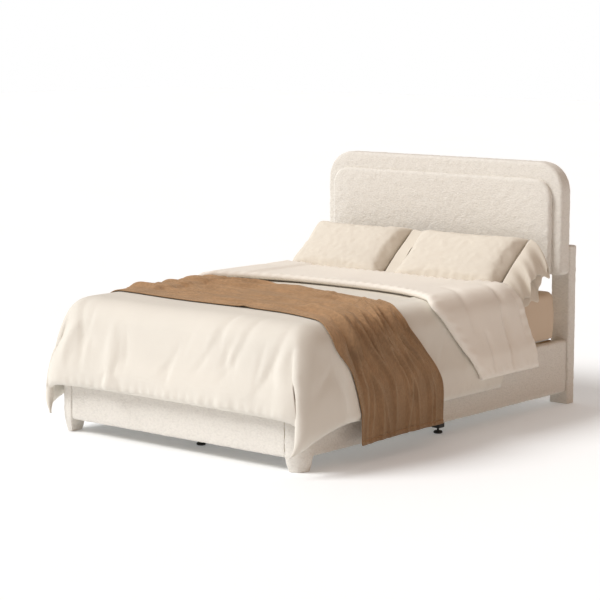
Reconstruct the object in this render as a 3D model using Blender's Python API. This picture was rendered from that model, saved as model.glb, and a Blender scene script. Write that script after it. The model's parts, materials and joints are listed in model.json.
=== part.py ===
"""An upholstered headboard bed, full (double) size, with its mattress and bedding.

Units are metres and +Z is up. The sleeper's head is at +Y and the foot at -Y.
Every piece is modelled in the bed frame's own coordinates, with Y = 0 halfway along
the frame. The empty "bed_origin" then shifts the lot, so that the world origin is on
the floor under the middle of the whole bed, duvet overhang included.
"""

import math

import bmesh
import bpy
from mathutils import Vector

# ---- Driving dimensions ----
BED_WIDTH = 1.450
BED_LENGTH = 2.093
HEADBOARD_TOP = 1.185
HEADBOARD_BOTTOM = 0.640
RAIL_TOP = 0.320
RAIL_BOTTOM = 0.060
MATTRESS_SIZE = (1.366, 1.905, 0.238)
DUVET_FOOT_OVERHANG = 0.0685

HALF_WIDTH = BED_WIDTH / 2
FOOT_Y = -BED_LENGTH / 2
HEAD_Y = BED_LENGTH / 2

# ---- Gaps and material thicknesses ----
GAP = 0.0004
FABRIC = 0.003
PLATE = 0.003
PLYWOOD = 0.018

# ---- Headboard ----
HEADBOARD_DEPTH = 0.076
POST_SIZE = (0.107, 0.0595, 0.780)
POST_FRONT = HEAD_Y - POST_SIZE[1]
BACK_CLOTH = 0.001
BACK_CLOTH_INSET = 0.030
HEADBOARD_BACK = POST_FRONT - BACK_CLOTH - 2 * GAP
HEADBOARD_FRONT = HEADBOARD_BACK - HEADBOARD_DEPTH
HEADBOARD_TOP_RADIUS = 0.140
HEADBOARD_LOW_RADIUS = 0.020
HEADBOARD_EDGE = 0.018
HEADBOARD_LIP = 0.045
PAD_HALF_WIDTH = 0.672
PAD_TOP = 1.105
PAD_BOTTOM = HEADBOARD_BOTTOM + 0.004
PAD_DEPTH = 0.030
PAD_TOP_RADIUS = 0.090
PAD_LOW_RADIUS = 0.018
PAD_EDGE = 0.015

# ---- Posts, legs, rails ----
POST_RADIUS = 0.010
LEG_SIZE = (0.0872, 0.0912, 0.318)
LEG_OUTER_RADIUS = 0.068
LEG_INNER_RADIUS = 0.008
LEG_TAPER = 0.013
TAPER_START = RAIL_BOTTOM + 0.004
LEG_TOP_ROUND = 0.014
SIDE_INSET = 0.012
SIDE_RAIL_DEPTH = 0.040
FOOTBOARD_INSET = 0.004
FOOTBOARD_DEPTH = 0.050
FOAM_BELOW_COVER = 0.001
RAIL_ROUND = 0.016
RAIL_RETURN = 0.010

# ---- Slats and their supports ----
SLAT_COUNT = 9
SLAT_SIZE = (1.336, 0.080, 0.017)
SLAT_TOP = 0.3205
FIRST_SLAT_Y = -0.905
LAST_SLAT_Y = 0.885
LEDGER_SIZE = (0.028, 0.024)
LEDGER_INSET = 0.002
LEDGER_BEVEL = 0.002
BEAM_SIZE = (0.044, 0.040)
BEAM_OVERRUN = 0.010
TIMBER_BEVEL = 0.003
HEAD_RAIL_SIZE = (0.022, 0.100)
HEAD_RAIL_TOP = 0.300

# ---- Support legs ----
SUPPORT_SIDE = 0.044
SUPPORT_BEVEL = 0.004
SUPPORT_BOTTOM = 0.026
CENTRE_LEG_Y = (-0.8665, 0.0, 0.8665)
SIDE_LEG_Y = 0.020
FOOT_RADIUS = 0.021
FOOT_HEIGHT = 0.012
STEM_RADIUS = 0.005
STEM_TOP = 0.055
STEM_CLEARANCE = 0.0005
STEM_TRAVEL = 0.012

# ---- Corner hardware ----
BRACKET_LOW = 0.130
BRACKET_HIGH = 0.220
BRACKET_REACH = 0.075
BRACKET_RETURN = 0.030
BOLT_RADIUS = 0.004
BOLT_HEAD_RADIUS = 0.009
BOLT_HEAD = 0.005
BOLT_LENGTH = 0.026
BOLT_FROM_CORNER = 0.045
HOLE_SPARE = 0.004

# ---- Mattress and bedding ----
MATTRESS_BOTTOM = RAIL_TOP + 0.0015
MATTRESS_HEAD = 0.928
MATTRESS_CORNER = 0.060
MATTRESS_EDGE = 0.034
MATTRESS_LOW_EDGE = 0.020
SHEET = 0.002
SHEET_RETURN = 0.030
DUVET_THICKNESS = 0.045
DUVET_TOP = 0.617
DUVET_HALF_WIDTH = 0.790
DUVET_HEAD = 0.480
FOLD_FROM = 0.020
FOLD_RISE = 0.035
DUVET_CORNER = 0.120
DUVET_EDGE = 0.090
DUVET_SIDE_HEM = 0.190
DUVET_FOOT_HEM = 0.250
DUVET_CORNER_HEM = 0.075
DUVET_CORNER_REACH = 0.330
THROW_THICKNESS = 0.008
THROW_FOOT_SIDE = -0.800
THROW_HEAD_SIDE = -0.120
THROW_HEM = 0.100
LOW_PILLOW = {"size": (0.66, 0.250, 0.085), "centre": (0.352, 0.7550, 0.6360), "tilt": 25.0}
TOP_PILLOW = {"size": (0.68, 0.390, 0.115), "centre": (0.355, 0.6520, 0.7060), "tilt": 40.0}

# ---- Finishes: colour, roughness, metallic ----
FINISHES = {
    "boucle": ((0.80, 0.74, 0.65), 0.95, 0.0),
    "foam": ((0.86, 0.80, 0.55), 0.95, 0.0),
    "plywood": ((0.62, 0.45, 0.28), 0.75, 0.0),
    "hardwood": ((0.66, 0.48, 0.30), 0.70, 0.0),
    "slat_wood": ((0.74, 0.58, 0.38), 0.60, 0.0),
    "backing_cloth": ((0.20, 0.19, 0.18), 0.95, 0.0),
    "black_wood": ((0.03, 0.03, 0.03), 0.45, 0.0),
    "zinc_steel": ((0.62, 0.62, 0.60), 0.35, 1.0),
    "black_plastic": ((0.02, 0.02, 0.02), 0.55, 0.0),
    "ticking": ((0.90, 0.89, 0.86), 0.90, 0.0),
    "sheet_cotton": ((0.60, 0.49, 0.37), 0.85, 0.0),
    "duvet_cotton": ((0.82, 0.76, 0.67), 0.85, 0.0),
    "pillow_cotton": ((0.72, 0.61, 0.49), 0.85, 0.0),
    "throw_wool": ((0.36, 0.22, 0.12), 0.95, 0.0),
}


# ---- Helpers ----
def clear_scene():
    for old in list(bpy.data.objects):
        bpy.data.objects.remove(old, do_unlink=True)


def make_finishes():
    made = {}
    for name, (colour, roughness, metallic) in FINISHES.items():
        material = bpy.data.materials.new(name)
        material.use_nodes = True
        shader = material.node_tree.nodes["Principled BSDF"]
        shader.inputs["Base Color"].default_value = (*colour, 1.0)
        shader.inputs["Roughness"].default_value = roughness
        shader.inputs["Metallic"].default_value = metallic
        made[name] = material
    return made


def add_part(name, shape, finish, origin=(0.0, 0.0, 0.0), smooth=True):
    """Turn a bmesh in bed coordinates into a named object whose origin is at origin."""
    bmesh.ops.recalc_face_normals(shape, faces=shape.faces)
    bmesh.ops.translate(shape, verts=shape.verts, vec=-Vector(origin))
    mesh = bpy.data.meshes.new(name)
    shape.to_mesh(mesh)
    shape.free()
    if smooth:
        mesh.shade_smooth()
        mesh.set_sharp_from_angle(angle=math.radians(35))
    part = bpy.data.objects.new(name, mesh)
    part.location = origin
    part.parent = bed_origin
    mesh.materials.append(finishes[finish])
    bpy.context.scene.collection.objects.link(part)
    return part


def rounded_rectangle(low, high, radii, inset=0.0, steps=(4, 4, 4, 4)):
    """Outline points of a rectangle, counter-clockwise from its low-low corner.

    radii and steps are for the corners low-low, high-low, high-high and low-high.
    """
    corners = (
        (low[0], low[1], 1, 1, math.pi),
        (high[0], low[1], -1, 1, 1.5 * math.pi),
        (high[0], high[1], -1, -1, 0.0),
        (low[0], high[1], 1, -1, 0.5 * math.pi),
    )
    points = []
    for (x, y, inward_x, inward_y, start), radius, count in zip(corners, radii, steps):
        arc = max(radius - inset, 0.001)
        centre_x = x + inward_x * (arc + inset)
        centre_y = y + inward_y * (arc + inset)
        for step in range(count + 1):
            angle = start + 0.5 * math.pi * step / count
            points.append((centre_x + arc * math.cos(angle), centre_y + arc * math.sin(angle)))
    return points


def placed(points, axis, depth):
    """Put 2-D points into the plane where the axis coordinate equals depth."""
    if axis == "X":
        return [Vector((depth, a, b)) for a, b in points]
    if axis == "Y":
        return [Vector((a, depth, b)) for a, b in points]
    return [Vector((a, b, depth)) for a, b in points]


def loft(loops):
    """Skin a chain of equal loops, with a flat cap on the first and the last."""
    shape = bmesh.new()
    rows = [[shape.verts.new(point) for point in loop] for loop in loops]
    count = len(rows[0])
    for row, following in zip(rows, rows[1:]):
        for index in range(count):
            after = (index + 1) % count
            shape.faces.new((row[index], row[after], following[after], following[index]))
    shape.faces.new(list(reversed(rows[0])))
    shape.faces.new(rows[-1])
    return shape


def round_over(radius, depth, direction, steps=3, inset=0.0):
    """Stations (inset, depth) of a rounded edge, from the flat face to the side wall."""
    stations = []
    for step in range(steps + 1):
        angle = 0.5 * math.pi * step / steps
        stations.append((
            inset + radius * (1 - math.sin(angle)),
            depth + direction * radius * (1 - math.cos(angle)),
        ))
    return stations


def station_loft(axis, stations, low, high, radii, steps):
    """Loft one rounded rectangle through stations of (inset, depth)."""
    loops = []
    for inset, depth in stations:
        outline = rounded_rectangle(low, high, radii, inset, steps)
        loops.append(placed(outline, axis, depth))
    return loft(loops)


def block(low, high):
    """A plain box between two corners."""
    outline = [(low[0], low[1]), (high[0], low[1]), (high[0], high[1]), (low[0], high[1])]
    return loft([placed(outline, "Z", low[2]), placed(outline, "Z", high[2])])


def turned(stations, centre, axis="Z", sides=16):
    """A round solid from (radius, depth) stations along an axis through centre."""
    loops = []
    for radius, depth in stations:
        ring = []
        for side in range(sides):
            angle = 2 * math.pi * side / sides
            ring.append((radius * math.cos(angle), radius * math.sin(angle)))
        loops.append([point + Vector(centre) for point in placed(ring, axis, depth)])
    return loft(loops)


def add_bevel(part, width, segments=1):
    bevel = part.modifiers.new("Softened edges", "BEVEL")
    bevel.width = width
    bevel.segments = segments
    bevel.limit_method = "ANGLE"
    bevel.angle_limit = math.radians(40)


def cut_with(part, cutter):
    """Take a hidden cutter out of a part."""
    boolean = part.modifiers.new("Cut " + cutter.name, "BOOLEAN")
    boolean.operation = "DIFFERENCE"
    boolean.object = cutter


def make_cutter(name, shape):
    cutter = add_part(name, shape, "black_plastic", smooth=False)
    cutter.hide_render = True
    cutter.display_type = "WIRE"
    return cutter


def side_name(side):
    return "right" if side > 0 else "left"


def mirrored_span(side, near, far):
    """The span from near to far on one side of X = 0, as (low, high)."""
    return tuple(sorted((side * near, side * far)))


# ---- Headboard ----
def add_headboard():
    low = (-HALF_WIDTH, HEADBOARD_BOTTOM)
    high = (HALF_WIDTH, HEADBOARD_TOP)
    radii = (HEADBOARD_LOW_RADIUS, HEADBOARD_LOW_RADIUS, HEADBOARD_TOP_RADIUS, HEADBOARD_TOP_RADIUS)
    steps = (2, 2, 8, 8)
    front, back = HEADBOARD_FRONT, HEADBOARD_BACK

    outside = round_over(HEADBOARD_EDGE, front, 1) + [(0.0, back), (HEADBOARD_LIP, back)]
    inside = [(HEADBOARD_LIP, back - FABRIC), (FABRIC, back - FABRIC)]
    inside += reversed(round_over(HEADBOARD_EDGE - FABRIC, front + FABRIC, 1, inset=FABRIC))
    add_part("headboard_cover", station_loft("Y", outside + inside, low, high, radii, steps), "boucle")

    clear = FABRIC + GAP
    board_back = back - clear
    board_front = board_back - PLYWOOD
    board = [(clear, board_front), (clear, board_back)]
    add_part("headboard_board", station_loft("Y", board, low, high, radii, steps), "plywood")

    foam = round_over(HEADBOARD_EDGE - FABRIC, front + clear, 1, inset=clear)
    foam.append((clear, board_front - GAP))
    add_part("headboard_foam", station_loft("Y", foam, low, high, radii, steps), "foam")

    cloth = [(BACK_CLOTH_INSET, back + GAP), (BACK_CLOTH_INSET, back + GAP + BACK_CLOTH)]
    add_part("headboard_back_cloth", station_loft("Y", cloth, low, high, radii, steps), "backing_cloth")


def add_headboard_pad():
    low = (-PAD_HALF_WIDTH, PAD_BOTTOM)
    high = (PAD_HALF_WIDTH, PAD_TOP)
    radii = (PAD_LOW_RADIUS, PAD_LOW_RADIUS, PAD_TOP_RADIUS, PAD_TOP_RADIUS)
    steps = (2, 2, 8, 8)
    back = HEADBOARD_FRONT - GAP
    front = back - PAD_DEPTH

    outside = round_over(PAD_EDGE, front, 1) + [(0.0, back)]
    inside = [(FABRIC, back)]
    inside += reversed(round_over(PAD_EDGE - FABRIC, front + FABRIC, 1, inset=FABRIC))
    add_part("headboard_pad_cover", station_loft("Y", outside + inside, low, high, radii, steps), "boucle")

    clear = FABRIC + GAP
    foam = round_over(PAD_EDGE - FABRIC, front + clear, 1, inset=clear) + [(clear, back)]
    add_part("headboard_pad_foam", station_loft("Y", foam, low, high, radii, steps), "foam")


def add_post(side):
    low_x, high_x = mirrored_span(side, HALF_WIDTH - POST_SIZE[0], HALF_WIDTH)
    low = (low_x, POST_FRONT)
    high = (high_x, HEAD_Y)
    radii = (POST_RADIUS,) * 4
    steps = (2,) * 4
    top = POST_SIZE[2]
    rounding = 0.008

    outside = round_over(rounding, top, -1, steps=2) + [(0.0, 0.0)]
    inside = [(FABRIC, 0.0)]
    inside += reversed(round_over(rounding - FABRIC, top - FABRIC, -1, steps=2, inset=FABRIC))
    name = "post_cover_" + side_name(side)
    add_part(name, station_loft("Z", outside + inside, low, high, radii, steps), "boucle")

    clear = FABRIC + GAP
    core = [(clear, 0.0), (clear, top - FABRIC - GAP - rounding)]
    core += reversed(round_over(rounding, top - clear, -1, steps=2, inset=clear))
    name = "post_core_" + side_name(side)
    add_part(name, station_loft("Z", core, low, high, radii, steps), "hardwood")


# ---- Foot end ----
def add_front_leg(side):
    low_x, high_x = mirrored_span(side, HALF_WIDTH - LEG_SIZE[0], HALF_WIDTH)
    low = (low_x, FOOT_Y)
    high = (high_x, FOOT_Y + LEG_SIZE[1])
    outer, inner = LEG_OUTER_RADIUS, LEG_INNER_RADIUS
    radii = (inner, outer, inner, inner) if side > 0 else (outer, inner, inner, inner)
    steps = (2, 8, 2, 2) if side > 0 else (8, 2, 2, 2)
    top = LEG_SIZE[2]

    outside = round_over(LEG_TOP_ROUND, top, -1) + [(0.0, TAPER_START), (LEG_TAPER, 0.0)]
    inside = [(LEG_TAPER + FABRIC, 0.0), (FABRIC, TAPER_START)]
    inside += reversed(round_over(LEG_TOP_ROUND - FABRIC, top - FABRIC, -1, inset=FABRIC))
    name = "front_leg_cover_" + side_name(side)
    add_part(name, station_loft("Z", outside + inside, low, high, radii, steps), "boucle")

    clear = FABRIC + GAP
    core = [(LEG_TAPER + clear, 0.0), (clear, TAPER_START)]
    core += reversed(round_over(LEG_TOP_ROUND - clear, top - clear, -1, inset=clear))
    name = "front_leg_block_" + side_name(side)
    add_part(name, station_loft("Z", core, low, high, radii, steps), "hardwood")


def wrap_outline(front, back, bottom, top, rounding, returns, thickness):
    """The cut edge of a fabric wrap: over the top, down the front and back, and in below.

    It runs in the plane across the rail, from the inner return to the outer one.
    """
    def path(inset):
        near, far = front + inset, back - inset
        low, high = bottom + inset, top - inset
        bend = rounding - inset
        points = [(far - (returns - inset), low), (far, low)]
        for step in range(5):
            angle = 0.5 * math.pi * step / 4
            points.append((far - bend + bend * math.cos(angle), high - bend + bend * math.sin(angle)))
        for step in range(5):
            angle = 0.5 * math.pi * (1 + step / 4)
            points.append((near + bend + bend * math.cos(angle), high - bend + bend * math.sin(angle)))
        points += [(near, low), (near + (returns - inset), low)]
        return points

    return path(0.0) + list(reversed(path(thickness)))


def add_wrap(name, axis, start, end, outline):
    add_part(name, loft([placed(outline, axis, start), placed(outline, axis, end)]), "boucle")


def add_footboard():
    front = FOOT_Y + FOOTBOARD_INSET
    back = front + FOOTBOARD_DEPTH
    end = HALF_WIDTH - LEG_SIZE[0] - GAP
    outline = wrap_outline(front, back, RAIL_BOTTOM, RAIL_TOP, RAIL_ROUND, RAIL_RETURN, FABRIC)
    add_wrap("footboard_cover", "X", -end, end, outline)

    clear = FABRIC + GAP
    board_front = back - clear - PLYWOOD
    low = (-end, board_front, RAIL_BOTTOM + clear)
    high = (end, back - clear, RAIL_TOP - RAIL_ROUND)
    add_part("footboard_board", block(low, high), "plywood", smooth=False)
    low = (-end, front + clear, RAIL_BOTTOM + clear)
    high = (end, board_front - GAP, RAIL_TOP - clear - FOAM_BELOW_COVER)
    foam = add_part("footboard_foam", block(low, high), "foam")
    add_bevel(foam, RAIL_ROUND, 2)


# ---- Side rails ----
def rail_ends():
    return FOOT_Y + LEG_SIZE[1] + GAP, POST_FRONT - GAP


def rail_faces():
    """Distance of a side rail's inner and outer faces from the middle of the bed."""
    outer = HALF_WIDTH - SIDE_INSET
    return outer - SIDE_RAIL_DEPTH, outer


def add_side_rail(side, bolt_cutters):
    start, end = rail_ends()
    inner, outer = rail_faces()
    low, high = mirrored_span(side, inner, outer)
    outline = wrap_outline(low, high, RAIL_BOTTOM, RAIL_TOP, RAIL_ROUND, RAIL_RETURN, FABRIC)
    name = side_name(side)
    section = [placed(outline, "Y", depth) for depth in (start, end)]
    cover = add_part("side_rail_cover_" + name, loft(section), "boucle")

    clear = FABRIC + GAP
    low, high = mirrored_span(side, inner + clear, outer - clear)
    board_low = (low, start, RAIL_BOTTOM + clear)
    board_high = (high, end, RAIL_TOP - clear)
    board = add_part("side_rail_board_" + name, block(board_low, board_high), "plywood")
    add_bevel(board, RAIL_ROUND - FABRIC, 2)
    for cutter in bolt_cutters:
        cut_with(cover, cutter)
        cut_with(board, cutter)


def corner_height():
    return 0.5 * (BRACKET_LOW + BRACKET_HIGH)


def add_corner(side, end_name):
    """One corner's steel angle and its bolt; returns the cutter of the bolt's hole."""
    start, end = rail_ends()
    inner, _ = rail_faces()
    into = 1 if end_name == "front" else -1
    corner_y = start if into > 0 else end
    face = inner - GAP
    points = [
        (face, corner_y),
        (face, corner_y + into * BRACKET_REACH),
        (face - PLATE, corner_y + into * BRACKET_REACH),
        (face - PLATE, corner_y + into * PLATE),
        (face - BRACKET_RETURN, corner_y + into * PLATE),
        (face - BRACKET_RETURN, corner_y),
    ]
    outline = [(side * x, y) for x, y in points]
    layers = [placed(outline, "Z", height) for height in (BRACKET_LOW, BRACKET_HIGH)]
    label = end_name + "_" + side_name(side)
    bracket = add_part("corner_bracket_" + label, loft(layers), "zinc_steel", smooth=False)

    centre = (0.0, corner_y + into * BOLT_FROM_CORNER, corner_height())
    head = face - PLATE - GAP
    stations = [
        (BOLT_HEAD_RADIUS * 0.6, side * (head - BOLT_HEAD)),
        (BOLT_HEAD_RADIUS, side * (head - BOLT_HEAD * 0.45)),
        (BOLT_HEAD_RADIUS, side * head),
        (BOLT_RADIUS, side * head),
        (BOLT_RADIUS, side * (head + BOLT_LENGTH)),
    ]
    add_part("corner_bolt_" + label, turned(stations, centre, "X", 12), "zinc_steel")

    hole = BOLT_RADIUS + GAP
    span = [(hole, side * (head - HOLE_SPARE)), (hole, side * (head + BOLT_LENGTH + HOLE_SPARE))]
    cutter = make_cutter("hole_" + label, turned(span, centre, "X", 12))
    cut_with(bracket, cutter)
    return cutter


# ---- Slats and what carries them ----
def add_slat_support():
    start, end = rail_ends()
    inner, _ = rail_faces()
    slat_bottom = SLAT_TOP - SLAT_SIZE[2]
    ledger_top = slat_bottom - GAP
    for side in (-1, 1):
        low, high = mirrored_span(side, inner - GAP - LEDGER_SIZE[0], inner - GAP)
        ledger_low = (low, start + LEDGER_INSET, ledger_top - LEDGER_SIZE[1])
        ledger_high = (high, end - LEDGER_INSET, ledger_top)
        name = "slat_ledger_" + side_name(side)
        add_bevel(add_part(name, block(ledger_low, ledger_high), "hardwood"), LEDGER_BEVEL)

    footboard_back = FOOT_Y + FOOTBOARD_INSET + FOOTBOARD_DEPTH
    half = BEAM_SIZE[0] / 2
    beam_low = (-half, footboard_back + GAP, ledger_top - BEAM_SIZE[1])
    beam_high = (half, POST_FRONT + BEAM_OVERRUN, ledger_top)
    add_bevel(add_part("centre_beam", block(beam_low, beam_high), "hardwood"), TIMBER_BEVEL)

    reach = HALF_WIDTH - POST_SIZE[0] - GAP
    rail_front = beam_high[1] + GAP
    rail_low = (-reach, rail_front, HEAD_RAIL_TOP - HEAD_RAIL_SIZE[1])
    rail_high = (reach, rail_front + HEAD_RAIL_SIZE[0], HEAD_RAIL_TOP)
    add_bevel(add_part("head_rail", block(rail_low, rail_high), "hardwood"), TIMBER_BEVEL)
    return ledger_top


def add_slats():
    half_x, half_y = SLAT_SIZE[0] / 2, SLAT_SIZE[1] / 2
    pitch = (LAST_SLAT_Y - FIRST_SLAT_Y) / (SLAT_COUNT - 1)
    for index in range(SLAT_COUNT):
        middle = FIRST_SLAT_Y + pitch * index
        low = (-half_x, middle - half_y, SLAT_TOP - SLAT_SIZE[2])
        high = (half_x, middle + half_y, SLAT_TOP)
        slat = add_part("slat_%d" % (index + 1), block(low, high), "slat_wood")
        add_bevel(slat, TIMBER_BEVEL)


def add_support_leg(label, x, y, top):
    """A square leg with a levelling foot screwed into its end."""
    half = SUPPORT_SIDE / 2
    low = (x - half, y - half, SUPPORT_BOTTOM)
    leg = add_part("support_leg_" + label, block(low, (x + half, y + half, top)), "black_wood")
    add_bevel(leg, SUPPORT_BEVEL, 2)
    hole = STEM_RADIUS + STEM_CLEARANCE
    span = [(hole, SUPPORT_BOTTOM - HOLE_SPARE), (hole, STEM_TOP + STEM_TRAVEL + HOLE_SPARE)]
    cut_with(leg, make_cutter("stem_hole_" + label, turned(span, (x, y, 0.0))))

    foot = [
        (FOOT_RADIUS * 0.86, 0.0),
        (FOOT_RADIUS, FOOT_HEIGHT * 0.25),
        (FOOT_RADIUS, FOOT_HEIGHT * 0.7),
        (FOOT_RADIUS * 0.8, FOOT_HEIGHT),
        (STEM_RADIUS, FOOT_HEIGHT),
        (STEM_RADIUS, STEM_TOP),
    ]
    shape = turned(foot, (x, y, 0.0))
    add_part("levelling_foot_" + label, shape, "black_plastic", origin=(x, y, 0.0))


def add_support_legs(ledger_top):
    beam_bottom = ledger_top - BEAM_SIZE[1] - GAP
    for label, y in zip(("foot", "middle", "head"), CENTRE_LEG_Y):
        add_support_leg(label, 0.0, y, beam_bottom)
    inner, _ = rail_faces()
    x = inner - GAP - SUPPORT_SIDE / 2
    for side in (-1, 1):
        add_support_leg(side_name(side), side * x, SIDE_LEG_Y, ledger_top - LEDGER_SIZE[1] - GAP)


# ---- Mattress and fitted sheet ----
def add_mattress():
    half = MATTRESS_SIZE[0] / 2
    low = (-half, MATTRESS_HEAD - MATTRESS_SIZE[1])
    high = (half, MATTRESS_HEAD)
    radii = (MATTRESS_CORNER,) * 4
    steps = (5,) * 4
    bottom = MATTRESS_BOTTOM
    top = bottom + MATTRESS_SIZE[2]
    lower = round_over(MATTRESS_LOW_EDGE, bottom, 1, steps=2)
    upper = list(reversed(round_over(MATTRESS_EDGE, top, -1)))
    add_part("mattress", station_loft("Z", lower + upper, low, high, radii, steps), "ticking")

    grow = GAP + SHEET
    low = (low[0] - grow, low[1] - grow)
    high = (high[0] + grow, high[1] + grow)
    radii = (MATTRESS_CORNER + grow,) * 4
    hem = bottom + SHEET_RETURN
    outside = round_over(MATTRESS_EDGE + grow, top + grow, -1) + [(0.0, hem)]
    inside = [(SHEET, hem)]
    inside += reversed(round_over(MATTRESS_EDGE + GAP, top + GAP, -1, inset=SHEET))
    add_part("fitted_sheet", station_loft("Z", outside + inside, low, high, radii, steps), "sheet_cotton")


# ---- Duvet ----
def duvet_rim():
    """Plan path of the duvet's hanging edge as (x, y, outward x, outward y).

    It runs from the head end on the right, round the foot, to the head end on the left.
    """
    foot = FOOT_Y - DUVET_FOOT_OVERHANG
    centre_x = DUVET_HALF_WIDTH - DUVET_CORNER
    centre_y = foot + DUVET_CORNER
    right = [(DUVET_HALF_WIDTH, y, 1.0, 0.0) for y in (DUVET_HEAD, FOLD_FROM, -0.04, -0.25, -0.6)]
    for step in range(7):
        angle = -0.5 * math.pi * step / 6
        across, along = math.cos(angle), math.sin(angle)
        right.append((
            centre_x + DUVET_CORNER * across, centre_y + DUVET_CORNER * along, across, along))
    right.append((0.25, foot, 0.0, -1.0))
    left = [(-x, y, -across, along) for x, y, across, along in reversed(right)]
    return right + left


def duvet_hem(x, y):
    """Height of the hem: it hangs lowest at the two foot corners."""
    foot = FOOT_Y - DUVET_FOOT_OVERHANG
    from_corner = math.hypot(DUVET_HALF_WIDTH - abs(x), y - foot)
    plain = DUVET_FOOT_HEM if y < foot + DUVET_CORNER / 2 else DUVET_SIDE_HEM
    blend = min(from_corner / DUVET_CORNER_REACH, 1.0)
    return DUVET_CORNER_HEM + (plain - DUVET_CORNER_HEM) * blend


def draped_column(x, y, across, along, hem):
    """One strip of the drape, from the flat top over the rounded edge to the hem."""
    top = DUVET_TOP + (FOLD_RISE if y >= FOLD_FROM else 0.0)
    column = []
    for step in range(5):
        angle = 0.5 * math.pi * step / 4
        back = DUVET_EDGE * (1 - math.sin(angle))
        down = DUVET_EDGE * (1 - math.cos(angle))
        column.append(Vector((x - across * back, y - along * back, top - down)))
    column.append(Vector((x, y, 0.5 * (top - DUVET_EDGE + hem))))
    column.append(Vector((x, y, hem)))
    return column


def add_duvet():
    columns = [
        draped_column(x, y, across, along, duvet_hem(x, y))
        for x, y, across, along in duvet_rim()
    ]
    shape = bmesh.new()
    grid = [[shape.verts.new(point) for point in column] for column in columns]
    for column, following in zip(grid, grid[1:]):
        for row in range(len(column) - 1):
            shape.faces.new((column[row], following[row], following[row + 1], column[row + 1]))
    crest = [column[0] for column in grid]
    opposite = list(reversed(crest))
    for index in range(len(crest) // 2 - 1):
        shape.faces.new((
            crest[index], opposite[index], opposite[index + 1], crest[index + 1]))
    duvet = add_part("duvet", shape, "duvet_cotton")
    solidify = duvet.modifiers.new("Filling", "SOLIDIFY")
    solidify.thickness = DUVET_THICKNESS
    solidify.offset = -1.0
    solidify.use_even_offset = True


# ---- Throw ----
def add_throw():
    """A band of wool across the bed, hanging down both sides of the duvet."""
    def path(lift):
        half = DUVET_HALF_WIDTH + lift
        top = DUVET_TOP + lift
        bend = DUVET_EDGE + lift
        points = [(half, THROW_HEM)]
        for step in range(7):
            angle = 0.5 * math.pi * step / 6
            points.append((half - bend + bend * math.cos(angle), top - bend + bend * math.sin(angle)))
        return points + [(-x, z) for x, z in reversed(points)]

    outline = path(2 * GAP) + list(reversed(path(2 * GAP + THROW_THICKNESS)))
    section = [placed(outline, "Y", y) for y in (THROW_FOOT_SIDE, THROW_HEAD_SIDE)]
    add_part("throw_blanket", loft(section), "throw_wool")


# ---- Pillows ----
def add_pillow(name, side, pillow):
    """A crowned closed cushion: two bulging faces that meet in a thin rim."""
    length, depth, height = pillow["size"]
    centre = Vector((side * pillow["centre"][0], pillow["centre"][1], pillow["centre"][2]))
    tilt = math.radians(pillow["tilt"])
    across, along = 12, 8
    rim = 0.12

    def point(column, row, upper):
        u = 2 * column / across - 1
        v = 2 * row / along - 1
        crown = math.sqrt(max(1 - u ** 4, 0.0)) * math.sqrt(max(1 - v ** 4, 0.0))
        pull = 1 - 0.06 * (1 - abs(u)) * abs(v) - 0.04 * (1 - abs(v)) * abs(u)
        z = 0.5 * height * (rim + (1 - rim) * crown) * (1 if upper else -1)
        y = 0.5 * depth * v * pull
        turned_y = y * math.cos(tilt) - z * math.sin(tilt)
        turned_z = y * math.sin(tilt) + z * math.cos(tilt)
        return centre + Vector((0.5 * length * u * pull, turned_y, turned_z))

    shape = bmesh.new()
    sheets = []
    for upper in (True, False):
        sheet = [
            [shape.verts.new(point(column, row, upper)) for row in range(along + 1)]
            for column in range(across + 1)
        ]
        sheets.append(sheet)
        for column in range(across):
            for row in range(along):
                corners = (
                    sheet[column][row], sheet[column + 1][row],
                    sheet[column + 1][row + 1], sheet[column][row + 1],
                )
                shape.faces.new(corners if upper else tuple(reversed(corners)))
    edge = [(column, 0) for column in range(across)]
    edge += [(across, row) for row in range(along)]
    edge += [(column, along) for column in range(across, 0, -1)]
    edge += [(0, row) for row in range(along, 0, -1)]
    for here, there in zip(edge, edge[1:] + edge[:1]):
        shape.faces.new((
            sheets[1][here[0]][here[1]], sheets[1][there[0]][there[1]],
            sheets[0][there[0]][there[1]], sheets[0][here[0]][here[1]],
        ))
    add_part(name, shape, "pillow_cotton", origin=centre)


# ---- The bed ----
clear_scene()
finishes = make_finishes()
bed_origin = bpy.data.objects.new("bed_origin", None)
bed_origin.location = (0.0, DUVET_FOOT_OVERHANG / 2, 0.0)
bpy.context.scene.collection.objects.link(bed_origin)

add_headboard()
add_headboard_pad()
add_footboard()
for bed_side in (-1, 1):
    add_post(bed_side)
    add_front_leg(bed_side)
    holes = [add_corner(bed_side, end_name) for end_name in ("front", "rear")]
    add_side_rail(bed_side, holes)
ledger_height = add_slat_support()
add_slats()
add_support_legs(ledger_height)
add_mattress()
add_duvet()
add_throw()
for bed_side in (-1, 1):
    add_pillow("lower_pillow_" + side_name(bed_side), bed_side, LOW_PILLOW)
    add_pillow("upper_pillow_" + side_name(bed_side), bed_side, TOP_PILLOW)
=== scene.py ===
"""Looks of the upholstered headboard bed: upholstery, bedding, finishes, light and camera.

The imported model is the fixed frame. Every size and place below is read from its boxes or
stated in metres in its own coordinates: +X right, +Y towards the head, +Z up.
"""

import json
import math

import bmesh
import bpy
import numpy as np
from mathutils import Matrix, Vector, noise


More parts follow.
